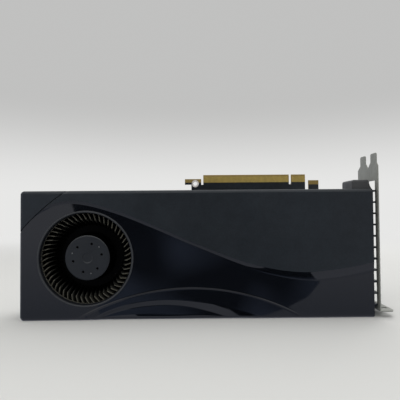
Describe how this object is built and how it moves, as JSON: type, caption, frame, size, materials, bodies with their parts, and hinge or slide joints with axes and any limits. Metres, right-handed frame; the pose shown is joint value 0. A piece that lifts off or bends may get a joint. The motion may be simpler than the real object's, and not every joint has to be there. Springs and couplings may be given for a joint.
{
  "type": "graphics card",
  "caption": "Two-slot graphics card with a radial blower, a sculpted gloss shroud, finned heat sink, steel slot bracket and a gold edge connector.",
  "frame": {"origin": "centre of the base of the bounding box; the card stands on its long edge, as it does in the picture", "axes": "+X towards the slot bracket, +Y from the cooler's face to the back of the circuit board, +Z towards the edge connector"},
  "size_m": [0.2808, 0.0398, 0.1245],
  "materials": {
    "shroud_plastic": "piano-gloss swoosh with a fine matte field",
    "fan_plastic": "satin moulded",
    "bracket_steel": "zinc plated, satin",
    "shaft_steel": "ground and polished",
    "motor_steel": "plain",
    "screw_steel": "nickel plated",
    "black_screw_steel": "black oxide",
    "magnet_ferrite": "bonded ferrite",
    "bearing_bronze": "sintered",
    "copper_wire": "enamelled",
    "copper_plate": "milled",
    "motor_board_green": "solder mask",
    "tray_metal": "black anodised",
    "fin_aluminium": "bare sheet",
    "board_laminate": "black solder mask over glass fibre",
    "contact_gold": "gold plated",
    "tinned_metal": "tinned",
    "package_green": "laminate",
    "stiffener_metal": "stamped",
    "die_silicon": "polished",
    "chip_epoxy": "moulded epoxy",
    "thermal_pad": "soft",
    "inductor_ferrite": "pressed powder",
    "can_aluminium": "polished",
    "capacitor_ceramic": "fired",
    "port_steel": "nickel plated",
    "connector_black": "moulded",
    "connector_white": "moulded",
    "lead_sleeve": "sleeved",
    "clamp_steel": "spring steel"
  },
  "bodies": {
    "card": {"shroud": "shroud_plastic", "fan_frame": "motor_steel", "fan_screws": "black_screw_steel", "base_tray": "tray_metal", "cold_plate": "copper_plate", "fins": "fin_aluminium", "circuit_board": "board_laminate", "edge_contacts": "contact_gold", "hook_ring": "tinned_metal", "displayport_shells": "port_steel", "displayport_tongues": "connector_black", "hdmi_shell": "port_steel", "hdmi_tongue": "connector_black", "port_contacts": "contact_gold", "power_connector": "connector_black", "power_pins": "contact_gold", "bracket": "bracket_steel", "bracket_screws": "screw_steel", "board_screws": "screw_steel", "clamp_plate": "clamp_steel", "clamp_screws": "screw_steel", "clamp_springs": "clamp_steel", "ear_screws": "black_screw_steel", "bearings": "bearing_bronze", "stator_core": "motor_steel", "stator_coils": "copper_wire", "motor_board": "motor_board_green", "gpu_package": "package_green", "gpu_stiffener": "stiffener_metal", "gpu_die": "die_silicon", "memory_chips": "chip_epoxy", "thermal_pads": "thermal_pad", "power_stages": "chip_epoxy", "inductors": "inductor_ferrite", "capacitor_cans": "can_aluminium", "ceramic_capacitors_front": "capacitor_ceramic", "controller_chips": "chip_epoxy", "ceramic_capacitors_back": "capacitor_ceramic", "back_chips": "chip_epoxy", "fan_header": "connector_white", "fan_plug": "connector_white", "fan_lead": "lead_sleeve"},
    "fan_rotor": {"impeller": "fan_plastic", "rotor_cup": "motor_steel", "rotor_magnet": "magnet_ferrite", "motor_shaft": "shaft_steel", "shaft_clip": "clamp_steel"}
  },
  "joints": [
    {"name": "fan_spin", "type": "hinge", "parent": "card", "child": "fan_rotor", "pos_m": [-0.09141, -0.0042, 0.046], "axis": [0, -1, 0], "continuous": true}
  ]
}
